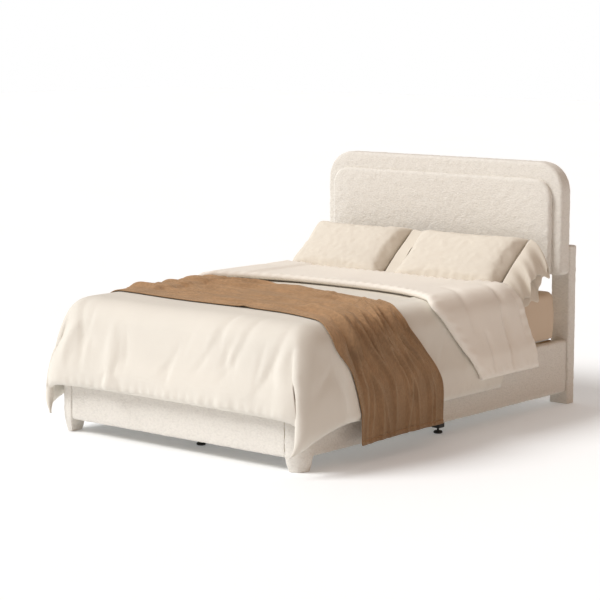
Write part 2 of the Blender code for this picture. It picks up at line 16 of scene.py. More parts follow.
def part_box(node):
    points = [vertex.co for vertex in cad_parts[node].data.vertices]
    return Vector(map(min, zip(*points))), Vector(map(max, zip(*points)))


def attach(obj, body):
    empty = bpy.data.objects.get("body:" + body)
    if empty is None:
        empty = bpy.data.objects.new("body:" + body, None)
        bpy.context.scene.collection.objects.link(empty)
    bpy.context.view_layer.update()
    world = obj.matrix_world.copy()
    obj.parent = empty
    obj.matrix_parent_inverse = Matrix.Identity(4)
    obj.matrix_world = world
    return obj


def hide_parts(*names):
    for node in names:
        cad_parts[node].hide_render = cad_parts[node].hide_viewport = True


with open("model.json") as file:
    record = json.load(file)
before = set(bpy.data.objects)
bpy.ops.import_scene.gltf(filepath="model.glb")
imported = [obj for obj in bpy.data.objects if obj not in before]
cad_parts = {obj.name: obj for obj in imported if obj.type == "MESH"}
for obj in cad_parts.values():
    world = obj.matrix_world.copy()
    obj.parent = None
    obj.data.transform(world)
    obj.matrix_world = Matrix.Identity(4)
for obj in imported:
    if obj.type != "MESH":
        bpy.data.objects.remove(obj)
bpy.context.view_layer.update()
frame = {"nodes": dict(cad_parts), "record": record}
nodes = frame["nodes"]

# ---- Landmarks read from the frame ----
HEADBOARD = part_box("headboard_cover")
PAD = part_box("headboard_pad_cover")
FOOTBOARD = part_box("footboard_cover")
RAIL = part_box("side_rail_cover_right")
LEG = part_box("front_leg_cover_right")
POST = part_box("post_cover_right")
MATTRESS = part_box("mattress")
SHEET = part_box("fitted_sheet")
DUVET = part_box("duvet")
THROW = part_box("throw_blanket")
BED_CENTRE = 0.5 * (LEG[0].y + POST[1].y)


# ---- Small mesh helpers ----
def new_object(name, vertices, faces):
    mesh = bpy.data.meshes.new(name)
    mesh.from_pydata([tuple(v) for v in vertices], [], faces)
    mesh.update()
    made = bpy.data.objects.new(name, mesh)
    bpy.context.scene.collection.objects.link(made)
    mesh.shade_smooth()
    return made


def coordinates(mesh):
    flat = np.zeros(len(mesh.vertices) * 3, np.float32)
    mesh.vertices.foreach_get("co", flat)
    return flat.reshape(-1, 3).astype(float)


def set_coordinates(mesh, points):
    mesh.vertices.foreach_set("co", np.asarray(points, np.float32).ravel())
    mesh.update()


def face_outward(piece):
    shape = bmesh.new()
    shape.from_mesh(piece.data)
    caps = [face for face in shape.faces if len(face.verts) > 4]
    bmesh.ops.triangulate(shape, faces=caps)
    bmesh.ops.recalc_face_normals(shape, faces=shape.faces)
    shape.to_mesh(piece.data)
    shape.free()


def add_subdivision(piece, levels=1):
    modifier = piece.modifiers.new("Smooth surface", "SUBSURF")
    modifier.levels = levels
    modifier.render_levels = levels


def apply_modifiers(piece):
    graph = bpy.context.evaluated_depsgraph_get()
    mesh = bpy.data.meshes.new_from_object(piece.evaluated_get(graph))
    piece.modifiers.clear()
    old = piece.data
    piece.data = mesh
    bpy.data.meshes.remove(old)
    piece.data.shade_smooth()


def roughen(piece, amount, size, seed=0.0):
    """Move every point along its normal by smooth noise of that size, in metres."""
    mesh = piece.data
    points = coordinates(mesh)
    normals = np.zeros(len(mesh.vertices) * 3, np.float32)
    mesh.vertex_normals.foreach_get("vector", normals)
    normals = normals.reshape(-1, 3)
    offset = Vector((seed, 2 * seed, 3 * seed))
    moves = [noise.noise(Vector(point) / size + offset) for point in points]
    set_coordinates(mesh, points + normals * (amount * np.array(moves))[:, None])


def object_from(shape, name):
    """A new object that holds what was built in a bmesh, which is then freed."""
    mesh = bpy.data.meshes.new(name)
    shape.to_mesh(mesh)
    shape.free()
    made = bpy.data.objects.new(name, mesh)
    bpy.context.scene.collection.objects.link(made)
    return made


def lofted(name, loops):
    """Skin equal loops in order and cap both ends."""
    count = len(loops[0])
    vertices = [point for loop in loops for point in loop]
    faces = []
    for below in range(0, len(vertices) - count, count):
        above = below + count
        for index in range(count):
            after = (index + 1) % count
            faces.append((below + index, below + after, above + after, above + index))
    faces.append(tuple(reversed(range(count))))
    faces.append(tuple(range(len(vertices) - count, len(vertices))))
    piece = new_object(name, vertices, faces)
    face_outward(piece)
    return piece


def spaced_rectangle(low, high, radii, inset, spacing, corner_steps=6):
    """A rounded rectangle with the same number of points at every inset."""
    corners = (
        (low[0], low[1], 1, 1, math.pi),
        (high[0], low[1], -1, 1, 1.5 * math.pi),
        (high[0], high[1], -1, -1, 0.0),
        (low[0], high[1], 1, -1, 0.5 * math.pi),
    )
    arcs = []
    for (x, y, inward_x, inward_y, start), radius in zip(corners, radii):
        arc = max(radius - inset, 0.002)
        centre = (x + inward_x * (arc + inset), y + inward_y * (arc + inset))
        angles = [start + 0.5 * math.pi * step / corner_steps for step in range(corner_steps + 1)]
        arcs.append([(centre[0] + arc * math.cos(a), centre[1] + arc * math.sin(a)) for a in angles])
    sides = (high[0] - low[0], high[1] - low[1]) * 2
    points = []
    for index, arc in enumerate(arcs):
        points += arc
        following = arcs[(index + 1) % 4][0]
        steps = max(2, int(sides[index] / spacing))
        for step in range(1, steps):
            share = step / steps
            points.append((
                arc[-1][0] + share * (following[0] - arc[-1][0]),
                arc[-1][1] + share * (following[1] - arc[-1][1]),
            ))
    return points


def placed(points, axis, depth):
    """An outline's points, upright at that depth along Y or level at that height along Z."""
    if axis == "Y":
        return [Vector((a, depth, b)) for a, b in points]
    return [Vector((a, b, depth)) for a, b in points]


# ---- Material helpers ----
class Finish:
    """A Principled material under construction, with its nodes added by short calls."""

    def __init__(self, name, colour, roughness, metallic=0.0):
        self.material = bpy.data.materials.new(name)
        self.material.use_nodes = True
        self.tree = self.material.node_tree
        self.shader = self.tree.nodes["Principled BSDF"]
        self.shader.inputs["Base Color"].default_value = (*colour, 1.0)
        self.shader.inputs["Roughness"].default_value = roughness
        self.shader.inputs["Metallic"].default_value = metallic
        self.place = self.tree.nodes.new("ShaderNodeTexCoord").outputs["Object"]
        self.base = colour
        self.height = None

    def add(self, kind, **values):
        node = self.tree.nodes.new(kind)
        for key, value in values.items():
            setattr(node, key, value)
        return node

    def link(self, source, target):
        self.tree.links.new(source, target)

    def stretched(self, scale):
        mapping = self.add("ShaderNodeMapping")
        mapping.inputs["Scale"].default_value = scale
        self.link(self.place, mapping.inputs["Vector"])
        return mapping.outputs["Vector"]

    def texture(self, kind, inputs, stretch=None, **values):
        node = self.add(kind, **values)
        for socket, value in inputs.items():
            node.inputs[socket].default_value = value
        self.link(self.stretched(stretch) if stretch else self.place, node.inputs["Vector"])
        return node.outputs

    def noise(self, scale, detail=4.0, stretch=None, distortion=0.0):
        inputs = {"Scale": scale, "Detail": detail, "Distortion": distortion}
        return self.texture("ShaderNodeTexNoise", inputs, stretch)["Fac"]

    def cells(self, scale, stretch=None):
        inputs = {"Scale": scale}
        return self.texture("ShaderNodeTexVoronoi", inputs, stretch, feature="SMOOTH_F1")["Distance"]

    def wave(self, scale, direction, distortion=0.5):
        inputs = {"Scale": scale, "Distortion": distortion}
        return self.texture("ShaderNodeTexWave", inputs, bands_direction=direction)["Fac"]

    def maths(self, operation, first, second):
        node = self.add("ShaderNodeMath", operation=operation)
        for socket, value in zip(node.inputs, (first, second)):
            if isinstance(value, (int, float)):
                socket.default_value = value
            else:
                self.link(value, socket)
        return node.outputs["Value"]

    def blend(self, first, first_share, second, second_share):
        return self.maths("ADD", self.maths("MULTIPLY", first, first_share),
                          self.maths("MULTIPLY", second, second_share))

    def ramp(self, factor, stops):
        node = self.add("ShaderNodeValToRGB")
        elements = node.color_ramp.elements
        while len(elements) < len(stops):
            elements.new(0.5)
        for element, (position, colour) in zip(elements, stops):
            element.position = position
            element.color = (*colour, 1.0)
        self.link(factor, node.inputs["Fac"])
        return node.outputs["Color"]

    def colour(self, factor, stops):
        self.link(self.ramp(factor, stops), self.shader.inputs["Base Color"])

    def shades(self, factor, *stops):
        """Colour it in shades of its own colour: each stop is a place and a factor."""
        self.colour(factor, [(place, tuple(min(1.0, channel * by) for channel in self.base))
                             for place, by in stops])

    def upward(self):
        """1 where the surface faces up, 0 where it faces sideways, -1 where it faces down."""
        parts = self.add("ShaderNodeSeparateXYZ")
        self.link(self.add("ShaderNodeNewGeometry").outputs["Normal"], parts.inputs["Vector"])
        return parts.outputs["Z"]

    def roughness(self, factor, low, high):
        node = self.add("ShaderNodeMapRange")
        node.inputs["To Min"].default_value = low
        node.inputs["To Max"].default_value = high
        self.link(factor, node.inputs["Value"])
        self.link(node.outputs["Result"], self.shader.inputs["Roughness"])

    def bump(self, factor, distance, strength=1.0):
        node = self.add("ShaderNodeBump")
        node.inputs["Strength"].default_value = strength
        node.inputs["Distance"].default_value = distance
        self.link(factor, node.inputs["Height"])
        if self.height is not None:
            self.link(self.height, node.inputs["Normal"])
        self.height = node.outputs["Normal"]
        self.link(self.height, self.shader.inputs["Normal"])

    def sheen(self, weight, roughness=0.5, tint=(1.0, 1.0, 1.0)):
        self.shader.inputs["Sheen Weight"].default_value = weight
        self.shader.inputs["Sheen Roughness"].default_value = roughness
        self.shader.inputs["Sheen Tint"].default_value = (*tint, 1.0)


def boucle():
    """Looped pile: nubs of 6 to 9 mm, painted lighter on the nubs and darker in the hollows between
    them as shade.
    """
    finish = Finish("boucle_cream", (0.775, 0.745, 0.69), 0.95)
    warp = finish.noise(55.0, 3.0)
    nubs = finish.cells(120.0, stretch=(0.8, 0.8, 1.25))
    curls = finish.noise(260.0, 3.0, distortion=1.6)
    mixed = finish.blend(nubs, 0.9, warp, 0.35)
    # Painted shade: the colour darkens from the middle of each nub to the hollows between them,
    # mixed with a random tone from the warp noise.
    finish.shades(mixed, (0.15, 1.04), (0.55, 1.0), (0.95, 0.91))
    finish.bump(finish.maths("SUBTRACT", 1.0, nubs), 0.0030, 0.6)
    finish.bump(curls, 0.0012, 0.5)
    finish.sheen(0.25, 0.6, (1.0, 0.97, 0.92))
    return finish.material


def cotton(name, colour, crease=0.0015, thread=1500.0):
    """Plain woven cotton with soft pressed creases and a faint thread pattern."""
    finish = Finish(name, colour, 0.82)
    cloudy = finish.noise(3.0, 3.0)
    finish.shades(cloudy, (0.30, 0.965), (0.70, 1.03))
    finish.bump(finish.noise(14.0, 5.0, distortion=0.8), crease, 0.6)
    weave = finish.maths(
        "MULTIPLY", finish.wave(thread, "X", 0.2), finish.wave(thread, "DIAGONAL", 0.2))
    finish.bump(weave, 0.0002, 0.35)
    finish.sheen(0.18, 0.4, (1.0, 0.98, 0.95))
    return finish.material


def throw_knit():
    """Soft brown brushed wool with a fine rib, with painted light: lighter where it faces up, darker
    on its flanks and underside.
    """
    finish = Finish("throw_brown", (0.36, 0.215, 0.112), 0.95)
    fibres = finish.noise(190.0, 5.0, stretch=(0.35, 1.0, 0.35))
    worn = finish.noise(9.0, 4.0)
    both = finish.blend(fibres, 0.6, worn, 0.4)
    # Painted light: the colour is lightened where the surface faces up and darkened where it faces
    # sideways or down.
    painted_top_light = finish.maths("MULTIPLY", finish.maths("SUBTRACT", finish.upward(), 0.35), 0.24)
    both = finish.maths("ADD", both, painted_top_light)
    finish.shades(both, (0.25, 0.66), (0.52, 1.0), (0.85, 1.60))
    finish.bump(fibres, 0.0012, 0.8)
    finish.bump(finish.wave(330.0, "Y", 1.2), 0.0006, 0.5)
    finish.sheen(0.45, 0.42, (1.0, 0.86, 0.66))
    return finish.material


def timber(name, colour, contrast=0.22):
    """Sawn wood whose grain runs across the bed."""
    grain = (0.05, 1.0, 1.0)
    finish = Finish(name, colour, 0.62)
    figure = finish.noise(38.0, 6.0, stretch=grain, distortion=0.5)
    pores = finish.noise(420.0, 3.0, stretch=grain)
    mixed = finish.blend(figure, 0.75, pores, 0.25)
    finish.shades(mixed, (0.30, 1 - contrast), (0.55, 1.0), (0.75, 1 + contrast))
    finish.roughness(pores, 0.5, 0.75)
    finish.bump(mixed, 0.0006, 0.5)
    return finish.material


def plain(name, colour, roughness, metallic=0.0, grain=350.0, depth=0.0002):
    """A moulded, painted or plated surface with a fine grain and slight wear."""
    finish = Finish(name, colour, roughness, metallic)
    marks = finish.noise(grain, 4.0)
    wear = finish.noise(16.0, 3.0)
    finish.shades(wear, (0.35, 0.85), (0.65, 1.15))
    finish.roughness(marks, roughness - 0.08, roughness + 0.10)
    finish.bump(marks, depth, 0.5)
    return finish.material


def celled(name, colour, roughness, scale, pale, dark, strength):
    """Fine pores or stitches; pale and dark are each a place in a cell and a shade there."""
    finish = Finish(name, colour, roughness)
    cells = finish.cells(scale)
    finish.shades(cells, pale, dark)
    finish.bump(cells, 0.001, strength)
    return finish.material


def plywood():
    finish = Finish("plywood_board", (0.60, 0.43, 0.26), 0.7)
    figure = finish.noise(30.0, 6.0, stretch=(0.08, 1.0, 1.0), distortion=0.6)
    finish.shades(figure, (0.3, 0.8), (0.7, 1.2))
    finish.bump(figure, 0.0005, 0.4)
    return finish.material


# ---- Stage, camera and light ----
CAMERA_AT = (6.1226, BED_CENTRE - 7.4616, 1.9147)
CAMERA_TILT, CAMERA_TURN = 81.987, 40.077
CAMERA_LENS = 123.87
WORLD_ABOVE = (0.62, 0.61, 0.60)
WORLD_RIGHT = (0.42, 0.25, 0.14)
SUN_FROM = (-2.8, -3.0, 4.2)
SUN_POWER = 2.25
FLOOR = 30.0
FLOOR_GLOW = 0.17


def look_at(thing, target):
    thing.rotation_euler = (Vector(target) - thing.location).to_track_quat("-Z", "Y").to_euler()


def add_stage():
    """A wide floor with a faint glow of its own, so that it stays white to the horizon."""
    corners = [(-FLOOR, -FLOOR, 0), (FLOOR, -FLOOR, 0), (FLOOR, FLOOR, 0), (-FLOOR, FLOOR, 0)]
    floor = new_object("floor", corners, [(0, 1, 2, 3)])
    finish = Finish("floor_pale", (0.93, 0.95, 0.97), 0.9)
    finish.colour(finish.noise(0.7, 2.0), ((0.3, (0.92, 0.94, 0.96)), (0.7, (0.94, 0.96, 0.98))))
    finish.shader.inputs["Emission Color"].default_value = (0.92, 0.97, 1.0, 1.0)
    finish.shader.inputs["Emission Strength"].default_value = FLOOR_GLOW
    floor.data.materials.append(finish.material)


def add_camera():
    camera = bpy.data.cameras.new("camera")
    camera.lens = CAMERA_LENS
    camera.sensor_width = 36.0
    camera.clip_end = 100.0
    holder = bpy.data.objects.new("camera", camera)
    holder.location = CAMERA_AT
    holder.rotation_euler = (math.radians(CAMERA_TILT), 0.0, math.radians(CAMERA_TURN))
    bpy.context.scene.collection.objects.link(holder)
    bpy.context.scene.camera = holder


def add_gradient(tree, low, high, colour):
    """White up to low, then fading to the colour at high."""
    ramp = tree.nodes.new("ShaderNodeValToRGB")
    stops = ((low, (1.0, 1.0, 1.0)), (high, colour))
    for element, (position, shown) in zip(ramp.color_ramp.elements, stops):
        element.position = position
        element.color = (*shown, 1.0)
    return ramp


def add_lighting():
    """A pale room, white towards the horizon, and one wide soft sun from the left foot side."""
    world = bpy.data.worlds.new("studio")
    world.use_nodes = True
    tree = world.node_tree
    place = tree.nodes.new("ShaderNodeTexCoord")
    parts = tree.nodes.new("ShaderNodeSeparateXYZ")
    ramp = add_gradient(tree, 0.04, 0.22, WORLD_ABOVE)
    side = add_gradient(tree, 0.30, 0.75, WORLD_RIGHT)
    remap = tree.nodes.new("ShaderNodeMapRange")
    remap.inputs["From Min"].default_value = -1.0
    tint = tree.nodes.new("ShaderNodeMix")
    tint.data_type = "RGBA"
    tint.blend_type = "MULTIPLY"
    tint.inputs["Factor"].default_value = 1.0
    tree.links.new(place.outputs["Generated"], parts.inputs["Vector"])
    tree.links.new(parts.outputs["Z"], ramp.inputs["Fac"])
    tree.links.new(parts.outputs["X"], remap.inputs["Value"])
    tree.links.new(remap.outputs["Result"], side.inputs["Fac"])
    tree.links.new(ramp.outputs["Color"], tint.inputs["A"])
    tree.links.new(side.outputs["Color"], tint.inputs["B"])
    tree.links.new(tint.outputs["Result"], tree.nodes["Background"].inputs["Color"])
    tree.nodes["Background"].inputs["Strength"].default_value = 1.0
    bpy.context.scene.world = world
    bpy.context.scene.view_settings.view_transform = "Standard"

    light = bpy.data.lights.new("sun", "SUN")
    light.energy = SUN_POWER
    light.color = (1.0, 0.995, 0.985)
    light.angle = math.radians(28.0)
    sun = bpy.data.objects.new("sun", light)
    sun.location = SUN_FROM
    bpy.context.scene.collection.objects.link(sun)
    look_at(sun, (0.0, 0.0, 0.0))


add_camera()
add_stage()
add_lighting()


# ---- Upholstery ----
FABRIC = 0.003
FABRIC_GRID = 0.016
WAVES = 0.0016
WAVE_SIZE = 0.028
MIDDLE_STRIP = 0.012
SIDE_STEP = 0.012


def slab_cover(name, node, low, high, radii, edge, crown, lip):
    """A fabric shell over a slab that faces -Y: crowned front, rounded edge, open back."""
    front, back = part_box(node)[0].y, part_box(node)[1].y
    middle = 0.5 * (high[1] - low[1]) - MIDDLE_STRIP
    loops = []
    inset = middle
    while inset > edge * 1.6:
        rise = crown * (1 - math.exp(-(inset - edge) / 0.05))
        loops.append((inset, front - rise))
        inset -= FABRIC_GRID
    for step in range(7):
        angle = 0.5 * math.pi * step / 6
        loops.append((edge * (1 - math.sin(angle)), front + edge * (1 - math.cos(angle))))
    depth = front + edge
    while depth < back - SIDE_STEP:
        depth += SIDE_STEP
        loops.append((0.0, min(depth, back - FABRIC)))
    loops.append((0.002, back))
    if lip:
        loops += [(lip * 0.5, back), (lip, back), (lip, back - FABRIC), (FABRIC, back - FABRIC)]
    else:
        loops.append((FABRIC, back))
    loops += [(FABRIC, front + edge), (edge, front + FABRIC), (middle, front + FABRIC)]
    outlines = [
        placed(spaced_rectangle(low, high, radii, inset, FABRIC_GRID), "Y", depth)
        for inset, depth in loops
    ]
    return lofted(name, outlines)


def finish_cover(piece, node, body="bed_frame"):
    """Give a cover its soft unevenness, its fabric and its body, and keep it off the floor."""
    add_subdivision(piece)
    apply_modifiers(piece)
    roughen(piece, WAVES, WAVE_SIZE)
    roughen(piece, WAVES * 0.7, WAVE_SIZE * 0.45, seed=3.1)
    points = coordinates(piece.data)
    points[:, 2] = np.maximum(points[:, 2], 0.0)
    set_coordinates(piece.data, points)
    piece.data.materials.append(MATERIALS["boucle_fabric"])
    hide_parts(node)
    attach(piece, body)


def add_headboard():
    for name, node, box, radii, edge, crown, lip in (
            ("headboard_upholstery", "headboard_cover", HEADBOARD,
             (0.020, 0.020, 0.140, 0.140), 0.018, 0.002, 0.045),
            ("headboard_pad_upholstery", "headboard_pad_cover", PAD,
             (0.018, 0.018, 0.090, 0.090), 0.016, 0.004, 0.0)):
        low, high = [(corner.x, corner.z) for corner in box]
        finish_cover(slab_cover(name, node, low, high, radii, edge, crown, lip), node)


def column_cover(name, node, radii, stations):
    """A fabric shell round an upright: stations are (inset, height), from the top down."""
    low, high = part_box(node)
    plan_low, plan_high = (low.x, low.y), (high.x, high.y)
    centre = 0.5 * min(high.x - low.x, high.y - low.y) - 0.006
    top = [(centre, high.z), (0.5 * (centre + stations[0][0]), high.z)]
    inner = [(stations[-1][0] + FABRIC, stations[-1][1])]
    inner += [(FABRIC, 0.07), (FABRIC, high.z - 0.02), (centre, high.z - FABRIC)]
    outlines = [
        placed(spaced_rectangle(plan_low, plan_high, radii, inset, FABRIC_GRID), "Z", height)
        for inset, height in top + stations + inner
    ]
    return lofted(name, outlines)


def rounded_stations(radius, top, step, taper=0.0, taper_from=0.0):
    """(inset, height) down an upright that is rounded at its top and may taper to the floor."""
    stations = []
    for index in range(5):
        angle = 0.5 * math.pi * index / 4
        stations.append((radius * (1 - math.sin(angle)), top - radius * (1 - math.cos(angle))))
    height = top - radius
    while height > step:
        height -= step
        inset = taper * max(0.0, 1 - height / taper_from) if taper_from else 0.0
        stations.append((inset, height))
    stations.append((taper, 0.0))
    return stations


def add_uprights():
    for side, name in ((-1, "left"), (1, "right")):
        node = "post_cover_" + name
        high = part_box(node)[1]
        stations = rounded_stations(0.009, high.z, 0.016)
        post = column_cover("post_upholstery_" + name, node, (0.010,) * 4, stations)
        finish_cover(post, node)

        node = "front_leg_cover_" + name
        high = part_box(node)[1]
        radii = (0.009, 0.066, 0.009, 0.009) if side > 0 else (0.066, 0.009, 0.009, 0.009)
        stations = rounded_stations(0.014, high.z, 0.010, 0.013, 0.062)
        leg = column_cover("front_leg_upholstery_" + name, node, radii, stations)
        finish_cover(leg, node)


def wrap_section(near, far, bottom, top):
    """Closed outline of a fabric wrap over a rail, with a slightly bulging outer face."""
    rounding, returns, bulge = 0.016, 0.011, 0.002

    def path(inset, bulging):
        left, right = near + inset, far - inset
        low, high = bottom + inset, top - inset
        bend = rounding - inset
        soft = 0.007
        points = [(right - returns, low), (right - soft, low), (right, low + soft)]
        points += [(right, low + share * (high - bend - low)) for share in (0.35, 0.65, 0.9)]
        turns = [0.5 * math.pi * step / 5 for step in range(6)]
        level = high - bend
        points += [(right - bend + bend * math.cos(a), level + bend * math.sin(a)) for a in turns]
        points += [(left + bend - bend * math.sin(a), level + bend * math.cos(a)) for a in turns]
        drop = high - bend - low - soft
        for share in [step / 12 for step in range(1, 12)]:
            swell = bulging * (1 - (2 * share - 1) ** 4)
            points.append((left - swell, high - bend - share * drop))
        points += [(left, low + soft), (left + soft, low), (left + returns, low)]
        return points

    return path(0.0, bulge) + list(reversed(path(FABRIC, 0.0)))


def add_rails():
    for side, name in ((-1, "left"), (1, "right")):
        node = "side_rail_cover_" + name
        low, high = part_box(node)
        outer, inner = (high.x, low.x) if side > 0 else (low.x, high.x)
        section = wrap_section(0.0, abs(outer - inner), low.z, high.z)
        section = [(outer - side * a, b) for a, b in section]
        stations = np.linspace(low.y, high.y, 110)
        rail = lofted("side_rail_upholstery_" + name, [
            [Vector((a, y, b)) for a, b in section] for y in stations])
        finish_cover(rail, node)
    low, high = FOOTBOARD
    section = wrap_section(low.y, high.y, low.z, high.z)
    stations = np.linspace(low.x, high.x, 80)
    footboard = lofted("footboard_upholstery", [
        [Vector((x, a, b)) for a, b in section] for x in stations])
    finish_cover(footboard, "footboard_cover")


# ---- Cloth ----
def soft_block(name, low, high, rounding):
    """A rounded block that stands in for what cloth lies on while it is simulated."""
    shape = bmesh.new()
    bmesh.ops.create_cube(shape, size=1.0)
    for vertex in shape.verts:
        vertex.co = Vector([
            0.5 * (low[axis] + high[axis]) + vertex.co[axis] * (high[axis] - low[axis])
            for axis in range(3)
        ])
    bmesh.ops.bevel(shape, geom=shape.edges[:], offset=rounding, segments=5, profile=0.5,
                    affect="EDGES")
    made = object_from(shape, name)
    made.modifiers.new("Collision", "COLLISION")
    made.collision.thickness_outer = 0.012
    made.collision.thickness_inner = 0.05
    made.collision.cloth_friction = 15.0
    made.collision.damping = 0.6
    return made


def grid_faces(across, along, wrap=False):
    row = across if wrap else across + 1
    return [
        (j * row + i, j * row + (i + 1) % row, (j + 1) * row + (i + 1) % row, (j + 1) * row + i)
        for j in range(along) for i in range(across)
    ]


def cloth_grid(name, across, along, place):
    vertices = [place(i / across, j / along) for j in range(along + 1) for i in range(across + 1)]
    return new_object(name, vertices, grid_faces(across, along))


def simulate(cloth, frames, pinned=(), stiffness=15.0, bending=0.5, weight=0.3, gap=0.008,
             quality=5, pressure=0.0, gravity=1.0, air=1.5):
    """Run Blender's cloth on an object and keep the shape it comes to rest in."""
    modifier = cloth.modifiers.new("Cloth", "CLOTH")
    settings = modifier.settings
    settings.quality = quality
    settings.mass = weight
    settings.tension_stiffness = stiffness
    settings.compression_stiffness = stiffness * 0.6
    settings.shear_stiffness = stiffness * 0.35
    settings.bending_stiffness = bending
    settings.tension_damping = settings.compression_damping = settings.shear_damping = 8.0
    settings.bending_damping = 1.0
    settings.air_damping = air
    settings.effector_weights.gravity = gravity
    if pressure:
        settings.use_pressure = True
        settings.uniform_pressure_force = pressure
    if len(pinned):
        group = cloth.vertex_groups.new(name="pinned")
        group.add([int(index) for index in pinned], 1.0, "REPLACE")
        settings.vertex_group_mass = "pinned"
    contact = modifier.collision_settings
    contact.distance_min = gap
    contact.collision_quality = 2
    scene = bpy.context.scene
    scene.frame_start = modifier.point_cache.frame_start = 1
    scene.frame_end = modifier.point_cache.frame_end = frames
    for moment in range(1, frames + 1):
        scene.frame_set(moment)
    graph = bpy.context.evaluated_depsgraph_get()
    points = coordinates(cloth.evaluated_get(graph).data)
    cloth.modifiers.clear()
    cloth.vertex_groups.clear()
    set_coordinates(cloth.data, points)
    scene.frame_set(1)
    return points


def discard(*things):
    for thing in things:
        bpy.data.objects.remove(thing, do_unlink=True)


def unit(vectors):
    return vectors / np.maximum(np.linalg.norm(vectors, axis=-1, keepdims=True), 1e-9)


def grid_normals(grid, smoothing=2):
    normals = unit(np.cross(np.gradient(grid, axis=1), np.gradient(grid, axis=0)))
    for _ in range(smoothing):
        around = np.pad(normals, ((1, 1), (1, 1), (0, 0)), mode="edge")
        normals = unit(around[:-2, 1:-1] + around[2:, 1:-1] + around[1:-1, :-2]
                       + around[1:-1, 2:] + 2 * normals)
    return normals


def shell(name, upper, lower):
    """Close two equal grids of points into one piece, joined round their rim."""
    rows, row = upper.shape[:2]
    across, along, count = row - 1, rows - 1, rows * row
    faces = grid_faces(across, along)
    faces += [tuple(count + corner for corner in reversed(face)) for face in faces]
    edge = [(u, 0) for u in range(across)] + [(across, v) for v in range(along)]
    edge += [(u, along) for u in range(across, 0, -1)] + [(0, v) for v in range(along, 0, -1)]
    edge = [v * row + u for u, v in edge]
    for here, there in zip(edge, edge[1:] + edge[:1]):
        faces.append((here, count + here, count + there, there))
    vertices = np.concatenate([upper.reshape(-1, 3), lower.reshape(-1, 3)])
    piece = new_object(name, vertices, faces)
    face_outward(piece)
    return piece


def ridge(across, along, start, end, height, width):
    """A soft crease between two points of a flat cloth, fading out at both ends."""
    (x0, y0), (x1, y1) = start, end
    length = math.hypot(x1 - x0, y1 - y0)
    ux, uy = (x1 - x0) / length, (y1 - y0) / length
    travel = ((across - x0) * ux + (along - y0) * uy) / length
    away = (across - x0) * uy - (along - y0) * ux
    away = away + 0.12 * length * np.sin(math.pi * travel) * 0.35
    fade = np.clip(np.sin(math.pi * np.clip(travel, 0, 1)), 0, 1) ** 0.7
    side = np.where(away > 0, 0.42 * width, width)
    return height * fade * np.exp(-(away / side) ** 2)


# ---- Duvet ----
DUVET_FILL = 0.040
DUVET_HEM = 0.010
DUVET_FLAT = (2.20, 1.83)
FOLD_FLAT = (2.20, 0.50)
FOLD_FOOT_Y = BED_CENTRE + 0.02
CREST_Z = SHEET[1].z + 0.5 * DUVET_FILL + 0.004
DUVET_CORNER = 0.14
DUVET_SWING = 0.765
PUFFS = 26
PUCKER_SEAM = 0.022
PUCKER_BAND = 0.020
PUCKER_PITCH = 0.052
PUCKER_RISE = 0.0065
# A crease is its start and its end on the flat cloth, its rise and its width.
DUVET_CREASES = (
    ((0.44, 0.44), (0.30, 0.10), -0.007, 0.030),
    ((0.62, 0.40), (0.50, 0.05), -0.010, 0.035),
    ((0.26, 0.36), (0.14, 0.12), -0.005, 0.024),
    ((-0.30, 0.30), (-0.26, 0.08), -0.005, 0.020),
    ((-0.62, 0.42), (-0.54, 0.06), -0.008, 0.030),
    ((0.05, 0.28), (-0.06, 0.07), -0.004, 0.022),
    ((0.80, 0.55), (0.95, 0.15), -0.006, 0.030),
    ((-0.80, 0.60), (-0.95, 0.25), -0.006, 0.030),
    ((0.78, 1.30), (1.00, 1.15), -0.006, 0.025),
    ((0.74, 1.42), (0.98, 1.38), -0.005, 0.025),
    ((-0.75, 1.25), (-1.00, 1.30), -0.006, 0.030),
)
FOLD_CREASES = (
    ((0.62, 0.40), (1.00, 0.30), -0.014, 0.024),
    ((0.72, 0.46), (1.00, 0.44), -0.010, 0.016),
    ((0.50, 0.20), (0.92, 0.12), -0.007, 0.030),
    ((-0.62, 0.40), (-1.00, 0.30), -0.014, 0.024),
    ((-0.20, 0.10), (0.20, 0.07), 0.003, 0.030),
    ((0.80, 0.37), (1.12, 0.26), -0.022, 0.028),
    ((0.90, 0.20), (1.12, 0.10), -0.012, 0.022),
    ((-0.82, 0.30), (-1.12, 0.22), -0.016, 0.026),
)


